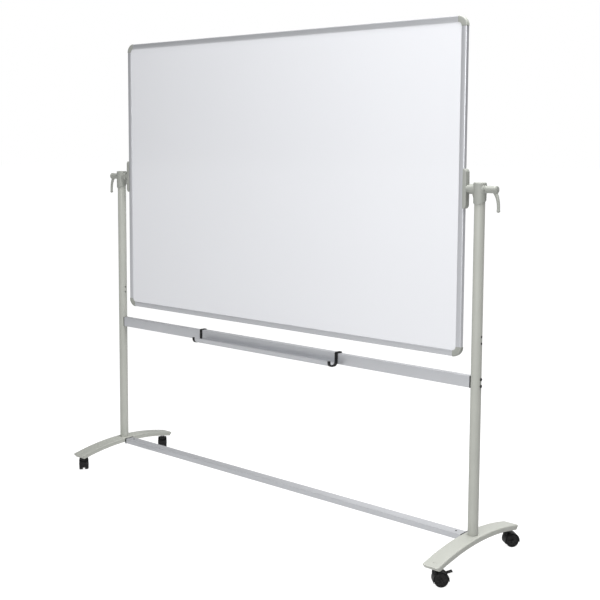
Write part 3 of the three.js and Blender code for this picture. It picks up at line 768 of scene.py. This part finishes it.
def bolt_head(seat, z, side):
    """A low pan head with a hexagon socket, on the outer side of the upright."""
    profile = [(0, 0), (6.2 * MM, 0), (6.2 * MM, 0.9 * MM), (5.6 * MM, 2.3 * MM)]
    profile += [(4.4 * MM, 3.1 * MM), (2.5 * MM, 3.6 * MM), (0, 3.6 * MM)]
    socket = rod(2 * MM, 1.6 * MM, 8 * MM, "x", sides=6)
    head = moved(without(lathe(profile, 32, "x"), socket), Matrix.Translation((seat, 0, z)))
    return mirrored(head, side)


def crossbar_ends():
    seat = UPRIGHT_X + UPRIGHT_RADIUS + GAP
    for side in SIDES:
        keep("mid_bar_insert_" + side, bevel=0.4 * MM)
        keep("base_bar_insert_" + side, bevel=0.4 * MM)
        for place, z in zip(("lower", "upper"), BOLT_HEIGHTS):
            replace(f"mid_bar_bolt_{side}_{place}", bolt_head(seat, z, side))


def spare_hole_plugs():
    """A black push-in plug in each spare bolt hole, on the outer side of the upright."""
    profile = [(0, -4 * MM), (3.1 * MM, -4 * MM), (3.1 * MM, 0), (4.6 * MM, 0)]
    profile += [(4.4 * MM, 0.7 * MM), (2.8 * MM, 1.2 * MM), (0, 1.3 * MM)]
    for side in SIDES:
        for place, z in zip(("lower", "upper"), BOLT_HEIGHTS):
            seat = UPRIGHT_X + UPRIGHT_RADIUS - GAP
            at = Matrix.Translation((seat, 0, z + SPARE_HOLES_UP))
            plug = mirrored(moved(lathe(profile, 24, "x"), at), side)
            add(f"spare_hole_plug_{side}_{place}", plug, "stand", "black_plastic")


SCREW_IN = 32 * MM  # from the lower crossbar's end to its screw


def base_bar_screws():
    """A small dark screw near each end of the lower crossbar, with a cross recess."""
    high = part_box("base_crossbar")[1]
    profile = [(0, 0), (3.6 * MM, 0), (3.4 * MM, 0.7 * MM), (2.2 * MM, 1.5 * MM), (0, 1.8 * MM)]
    head = lathe(profile, 24, "z")
    for long, wide in ((2.4 * MM, 0.4 * MM), (0.4 * MM, 2.4 * MM)):
        head = without(head, block((-long, -wide, 0.8 * MM), (long, wide, 3 * MM)))
    for side, sign in SIDES.items():
        at = Vector((sign * (high.x - SCREW_IN), 0, high.z))
        add("base_bar_screw_" + side, moved(head, Matrix.Translation(at)), "stand", "black_plastic")


# ---------- Pen tray ----------

MID_BAR_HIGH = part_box("mid_crossbar")[1]
TRAY_LOW, TRAY_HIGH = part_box("pen_tray")
TRAY_BEND = 15 * MM
TRAY_HOOK = 12 * MM  # how far the hook reaches down behind the crossbar
TRAY_WALL = 2 * MM
TRAY_LIP = 6 * MM
HOOK_WALL = 5 * MM
HOOK_LIP = 7 * MM


def tray_path(node, wall, lip):
    """The middle line of a wall that hooks over the crossbar and turns up into a trough."""
    low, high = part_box(node)
    side = MID_BAR_HIGH.y + GAP + wall / 2
    top = MID_BAR_HIGH.z + GAP + wall / 2
    front = low.y + wall / 2
    bend = low.z + wall / 2 + TRAY_BEND
    corner = wall / 2 + 0.4 * MM
    path = [(side, top - TRAY_HOOK + wall / 2)]
    path += arc(side - corner, top - corner, corner, 0, 90, 5)
    path += arc(-side + corner, top - corner, corner, 90, 180, 5)
    path += arc(-side - TRAY_BEND, bend, TRAY_BEND, 0, -90, 12)
    path += arc(front + TRAY_BEND, bend, TRAY_BEND, -90, -180, 12)
    return path + [(front, bend + lip - wall / 2)]


def pen_tray():
    """The aluminium tray, and a black hook of the same shape, but thicker, at each end of it."""
    outline = strip(tray_path("pen_tray", TRAY_WALL, TRAY_LIP), TRAY_WALL)
    replace("pen_tray", prism(outline, TRAY_LOW.x, TRAY_HIGH.x, "x"), crease=50)
    for side in SIDES:
        node = "tray_hook_" + side
        low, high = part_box(node)
        hook = strip(tray_path(node, HOOK_WALL, HOOK_LIP), HOOK_WALL)
        replace(node, prism(hook, low.x, high.x, "x"), bevel=0.8 * MM, bevel_angle=60)


# ---------- Feet ----------

FOOT_HALF = size("foot_right").y / 2
FOOT_SIDE_HALF = size("foot_right").x / 2
FOOT_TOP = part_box("foot_right")[1].z
FOOT_DROP = 33 * MM
FOOT_DEEP = 18 * MM
FOOT_UNDERCUT = 14 * MM
FOOT_WALL = 2.5 * MM
FOOT_EDGE_ROUND = 4 * MM
FOOT_TIP_ROUND = 6 * MM
FOOT_TIP_SOLID = 14 * MM
STEM_BOSS = 11 * MM
STEM_BOSS_LOW = 65.3 * MM


def foot_top_at(y):
    return FOOT_TOP - FOOT_DROP * (y / FOOT_HALF) ** 2


def foot_ring(t, half_wide, outline, half_long, undercut):
    """One cross-section of the foot: t runs from -1 at one tip to 1 at the other."""
    ring = []
    for u, down in outline:
        y = t * (half_long - undercut * down / FOOT_DEEP)
        ring.append((UPRIGHT_X + u * half_wide, y, foot_top_at(y) - down))
    return ring


def foot_stations(count):
    """Places along the foot, closer together towards the rounded tips."""
    return [math.sin(math.pi / 2 * (2 * i / count - 1)) for i in range(count + 1)]


def tip_narrowing(t):
    """The half width at t, narrowed by the round corners at each tip."""
    gap = (1 - abs(t)) * FOOT_HALF
    if gap >= FOOT_TIP_ROUND:
        return FOOT_SIDE_HALF
    reach = math.sqrt(FOOT_TIP_ROUND ** 2 - (FOOT_TIP_ROUND - gap) ** 2)
    return FOOT_SIDE_HALF - FOOT_TIP_ROUND + reach


def foot_section():
    """The foot's flat top with round edges: (u, depth) with u from -1 to 1 across the foot."""
    radius, steps = FOOT_EDGE_ROUND, 6
    u = radius / FOOT_SIDE_HALF
    flat = [(-1 + u + (1 - u) * 2 * i / 10, 0.0) for i in range(1, 10)]
    angles = [math.pi / 2 * i / steps for i in range(steps + 1)]
    left = [(-1 + u * (1 - math.cos(a)), radius * (1 - math.sin(a))) for a in angles]
    right = [(-x, d) for x, d in left][::-1]
    return [(-1, FOOT_DEEP)] + left + flat + right + [(1, FOOT_DEEP)]


def feet():
    """Arched castings, hollow from below, with a boss for each caster's stem."""
    section = foot_section()
    stations = foot_stations(64)
    rings = [foot_ring(t, tip_narrowing(t), section, FOOT_HALF, FOOT_UNDERCUT) for t in stations]
    outside = loft(rings)
    below = FOOT_DEEP + 3 * MM
    hollow = [(-1, below), (-1, FOOT_WALL), (1, FOOT_WALL), (1, below)]
    inner_half = FOOT_SIDE_HALF - FOOT_WALL
    shorter = FOOT_HALF - FOOT_TIP_SOLID
    rings = [foot_ring(t, inner_half, hollow, shorter, 3 * MM) for t in foot_stations(40)]
    shell = without(outside, loft(rings))
    stem_y = centre("caster_stem_back_right").y
    stem_top = foot_top_at(stem_y) - 1 * MM
    bosses = []
    for y in (-stem_y, stem_y):
        bosses.append(rod(STEM_BOSS, STEM_BOSS_LOW, stem_top, "z", UPRIGHT_X, y, 32))
    for side in SIDES:
        whole = mirrored(joined(shell, *bosses), side)
        replace("foot_" + side, whole, crease=40, bevel=0.7 * MM, bevel_angle=55)


# ---------- Casters ----------

CASTERS = {"front_left": True, "front_right": True, "back_left": False, "back_right": False}
WHEEL_RADIUS = 25 * MM
WHEEL_INNER = 4.5 * MM
WHEEL_OUTER = 20.5 * MM
WHEEL_BORE = 3.3 * MM
WHEEL_DOME = 1.2 * MM
WHEEL_DISH = 2.4 * MM
WHEEL_DISH_FROM = 7 * MM
WHEEL_DISH_TO = 19.5 * MM
TRAIL = 18 * MM
HOOD_INNER = 26 * MM
HOOD_OUTER = 28.4 * MM
HOOD_HALF = 19.5 * MM
HOOD_ARC = (-12, 203)  # the fender's ends, in degrees round the axle
HOOD_TOP = 61 * MM
HOOD_BOSS_TALL = 16 * MM
HOOD_WEB_HALF = 4 * MM
PEDAL_AT = 47  # where the pedal's knuckle sits, in degrees round the axle
PEDAL_SLOPE = 16  # how far the pedal slopes down, in degrees
PEDAL_HALF = 8 * MM
PEDAL_LENGTH = 21 * MM


def caster_place(name):
    """The caster's own frame: origin on the floor under the stem, +X where the wheels trail."""
    stem = centre("caster_stem_" + name)
    axle = centre("caster_axle_" + name)
    angle = math.atan2(axle.y - stem.y, axle.x - stem.x)
    turn = Matrix.Rotation(angle, 4, "Z")
    return Matrix.Translation((stem.x, stem.y, 0)) @ turn, axle.z


def caster_hood(axle_z, brake):
    """A web between the wheels, a fender over them with room for a pedal where there is a brake,
    and a round boss for the stem."""
    start, end = HOOD_ARC
    fender = arc(TRAIL, axle_z, HOOD_OUTER, start, end, 40)
    fender += arc(TRAIL, axle_z, HOOD_INNER, end, start, 40)
    web = arc(TRAIL, axle_z, HOOD_INNER + 1 * MM, 5, 175, 24)
    web += arc(TRAIL, axle_z, 9 * MM, 200, 340, 10)
    boss_low = HOOD_TOP - HOOD_BOSS_TALL
    boss = [(0, boss_low), (12.5 * MM, boss_low), (11.5 * MM, HOOD_TOP - 5 * MM)]
    boss += arc(9 * MM, HOOD_TOP - 1.5 * MM, 1.5 * MM, 0, 90, 4) + [(0, HOOD_TOP)]
    body = joined(
        prism(fender, -HOOD_HALF, HOOD_HALF, "y"),
        prism(web, -HOOD_WEB_HALF, HOOD_WEB_HALF, "y"),
        lathe(boss, 40, "z"),
    )
    cutters = []
    for side in (-1, 1):
        near, far = side * HOOD_WEB_HALF, side * 24 * MM
        cutters.append(rod(HOOD_INNER, near, far, "y", TRAIL, axle_z, 64))
    if brake:
        room = PEDAL_HALF + 1.2 * MM
        cutters.append(block((TRAIL + 12.6 * MM, -room, 32 * MM), (60 * MM, room, 60 * MM)))
    return fused(without(body, *cutters), 0.6 * MM, 3)


def wheel_depth(radius, angle):
    """How far out the wheel's domed face stands: a rim, six spokes in a dish, and a hub cap."""
    dome = WHEEL_DOME * (1 - (radius / WHEEL_RADIUS) ** 2)
    if radius > WHEEL_DISH_TO or radius < WHEEL_DISH_FROM:
        return dome
    spoke = min(1.0, max(0.0, (math.cos(3 * angle) ** 2 - 0.55) / 0.25))
    return dome - WHEEL_DISH * (1 - 0.65 * spoke)


def caster_wheel():
    """One wheel about the local Y axis, its outer face towards +Y."""
    sides = 72
    inner, outer = WHEEL_INNER, WHEEL_OUTER
    profile = [(WHEEL_BORE, inner), (20 * MM, inner)]
    profile += arc(WHEEL_RADIUS - 2 * MM, inner + 2 * MM, 2 * MM, -90, 0, 5)
    profile += arc(WHEEL_RADIUS - 3.5 * MM, outer - 3.5 * MM, 3.5 * MM, 0, 90, 7)
    face = [20.4, 19.6, 19.0, 17, 14, 11, 8, 7.2, 6.8]
    profile += [(radius * MM, outer) for radius in face]
    profile += [(5.5 * MM, outer - 0.4 * MM), (4.4 * MM, outer - 1 * MM)]
    profile.append((WHEEL_BORE, outer - 1 * MM))
    points, faces = lathe(profile, sides, "y")
    dished = []
    for x, y, z in points:
        radius = math.hypot(x, z)
        deeper = wheel_depth(radius, math.atan2(z, x)) if abs(y - outer) < 1e-9 else 0.0
        dished.append((x, y + deeper, z))
    return dished, faces


def hub_plug():
    """The domed plug that hides the axle's end."""
    profile = [(0, 0), (4.2 * MM, 0), (4.2 * MM, 0.6 * MM), (2.6 * MM, 1.3 * MM), (0, 1.5 * MM)]
    return moved(lathe(profile, 32, "y"), Matrix.Translation((0, WHEEL_OUTER - 0.6 * MM, 0)))


def brake_pedal(axle_z):
    """A sloping foot plate with a raised lip and three grip ribs, on a knuckle at the fender."""
    radius = (HOOD_INNER + HOOD_OUTER) / 2 + GAP
    angle = math.radians(PEDAL_AT)
    at = Vector((TRAIL + radius * math.cos(angle), 0, axle_z + radius * math.sin(angle)))
    half, long = PEDAL_HALF, PEDAL_LENGTH
    plate = prism(rounded_rectangle(long, 3.8 * MM, 1.2 * MM, 4, long / 2), -half, half, "y")
    ribs = [rod(0.9 * MM, -6.5 * MM, 6.5 * MM, "y", x * MM, 1.9 * MM, 12) for x in (8, 11.5, 15)]
    lip = rod(2.6 * MM, -half, half, "y", long - 0.8 * MM, 0, 24)
    knuckle = rod(2.4 * MM, -half, half, "y", 0, 0, 24)
    slope = Matrix.Rotation(-math.radians(PEDAL_SLOPE), 4, "Y")
    pedal = moved(joined(plate, lip, knuckle, *ribs), Matrix.Translation(at) @ slope)
    return fused(pedal, 0.45 * MM, 2)


def casters():
    wheel = joined(caster_wheel(), hub_plug())
    for name, brake in CASTERS.items():
        place, axle_z = caster_place(name)
        replace("caster_hood_" + name, moved(caster_hood(axle_z, brake), place), crease=60)
        keep("caster_stem_" + name)
        keep("caster_axle_" + name)
        about = place @ Matrix.Translation((TRAIL, 0, axle_z))
        for letter, flip in (("a", 1), ("b", -1)):
            half_turn = Matrix.Rotation(0 if flip > 0 else math.pi, 4, "X")
            replace(f"caster_wheel_{name}_{letter}", moved(wheel, about @ half_turn), crease=30)
        if brake:
            replace("brake_pedal_" + name, moved(brake_pedal(axle_z), place), crease=60)


# ---------- Floor and light ----------


FLOOR_SEEN = 0.93  # the floor's own brightness as the camera sees it
FLOOR_GLOW = 0.56  # and as it lights the object from below
FLOOR_REACH = 60


def floor():
    """A plain white floor, seen brighter than it lights."""
    nodes = Nodes("floor")
    nodes.surface(roughness=0.7, Specular_IOR_Level=0.2)
    nodes.colour(nodes.spread(nodes.noise(0.8), 0, 1), *shades((0.20, 0.20, 0.20), 0.004))
    nodes.shader.inputs["Emission Color"].default_value = (1, 1, 1, 1)
    seen = nodes.add("ShaderNodeLightPath").outputs["Is Camera Ray"]
    glow = nodes.spread(seen, FLOOR_GLOW, FLOOR_SEEN, 0, 1)
    nodes.link(glow, nodes.shader.inputs["Emission Strength"])
    mesh = bpy.data.meshes.new("floor")
    signs = ((-1, -1), (1, -1), (1, 1), (-1, 1))
    corners = [(x * FLOOR_REACH, y * FLOOR_REACH, 0) for x, y in signs]
    mesh.from_pydata(corners, [], [(0, 1, 2, 3)])
    made = bpy.data.objects.new("floor", mesh)
    mesh.materials.append(nodes.material)
    bpy.context.collection.objects.link(made)


def area_light(name, at, towards, width, height, power):
    light = bpy.data.lights.new(name, "AREA")
    light.shape, light.size, light.size_y, light.energy = "RECTANGLE", width, height, power
    made = bpy.data.objects.new(name, light)
    bpy.context.collection.objects.link(made)
    made.location = at
    made.rotation_euler = (Vector(at) - Vector(towards)).to_track_quat("Z", "Y").to_euler()


def sky_lobe(tree, direction, start, end, low, high):
    """A factor that goes from low to high as the sky's direction turns towards this one."""
    place = tree.nodes.new("ShaderNodeTexCoord")
    dot = tree.nodes.new("ShaderNodeVectorMath")
    dot.operation = "DOT_PRODUCT"
    dot.inputs[1].default_value = Vector(direction).normalized()
    tree.links.new(place.outputs["Generated"], dot.inputs[0])
    ramp = tree.nodes.new("ShaderNodeMapRange")
    ramp.interpolation_type = "SMOOTHSTEP"
    ramp.inputs["From Min"].default_value = start
    ramp.inputs["From Max"].default_value = end
    ramp.inputs["To Min"].default_value = low
    ramp.inputs["To Max"].default_value = high
    tree.links.new(dot.outputs["Value"], ramp.inputs["Value"])
    return ramp.outputs["Result"]


def combined(tree, operation, first, second):
    node = tree.nodes.new("ShaderNodeMath")
    node.operation = operation
    tree.links.new(first, node.inputs[0])
    tree.links.new(second, node.inputs[1])
    return node.outputs["Value"]


def studio():
    """A white surround that lights softly from all round: brightest behind the object, darker
    to its left and right, and with a bright patch above it that draws the edges' highlights.
    One large soft light stands beside the camera and one hangs overhead."""
    world = bpy.data.worlds.new("studio")
    bpy.context.scene.world = world
    world.use_nodes = True
    tree = world.node_tree
    bright = sky_lobe(tree, (-0.40, 0.86, 0.30), 0.90, 0.99, 0.37, 0.85)
    right_flag = sky_lobe(tree, (0.95, 0.20, 0.0), 0.10, 0.75, 1.0, 0.03)
    left_flag = sky_lobe(tree, (-1.0, -0.1, 0.0), 0.45, 0.90, 1.0, 0.25)
    strip_box = sky_lobe(tree, (-0.45, -0.35, 0.80), 0.90, 0.98, 0.0, 0.95)
    flags = combined(tree, "MULTIPLY", right_flag, left_flag)
    strength = combined(tree, "ADD", combined(tree, "MULTIPLY", bright, flags), strip_box)
    seen = tree.nodes.new("ShaderNodeLightPath").outputs["Is Camera Ray"]
    plain = combined(tree, "MAXIMUM", strength, seen)
    tree.links.new(plain, tree.nodes["Background"].inputs["Strength"])
    tree.nodes["Background"].inputs["Color"].default_value = (1, 1, 1, 1)
    area_light("overhead", (1.4, 0.1, 4.6), (0.9, 0, 0), 3.0, 2.0, 262)
    area_light("front", (1.8, -3.6, 2.0), (0.4, 0, 1.1), 2.0, 1.6, 72)


def colour_management():
    view = bpy.context.scene.view_settings
    view.view_transform = "Standard"
    view.look = "None"


camera()
board()
uprights()
pivot_housings()
clamp_levers()
crossbars()
crossbar_ends()
spare_hole_plugs()
base_bar_screws()
pen_tray()
feet()
casters()
floor()
studio()
colour_management()
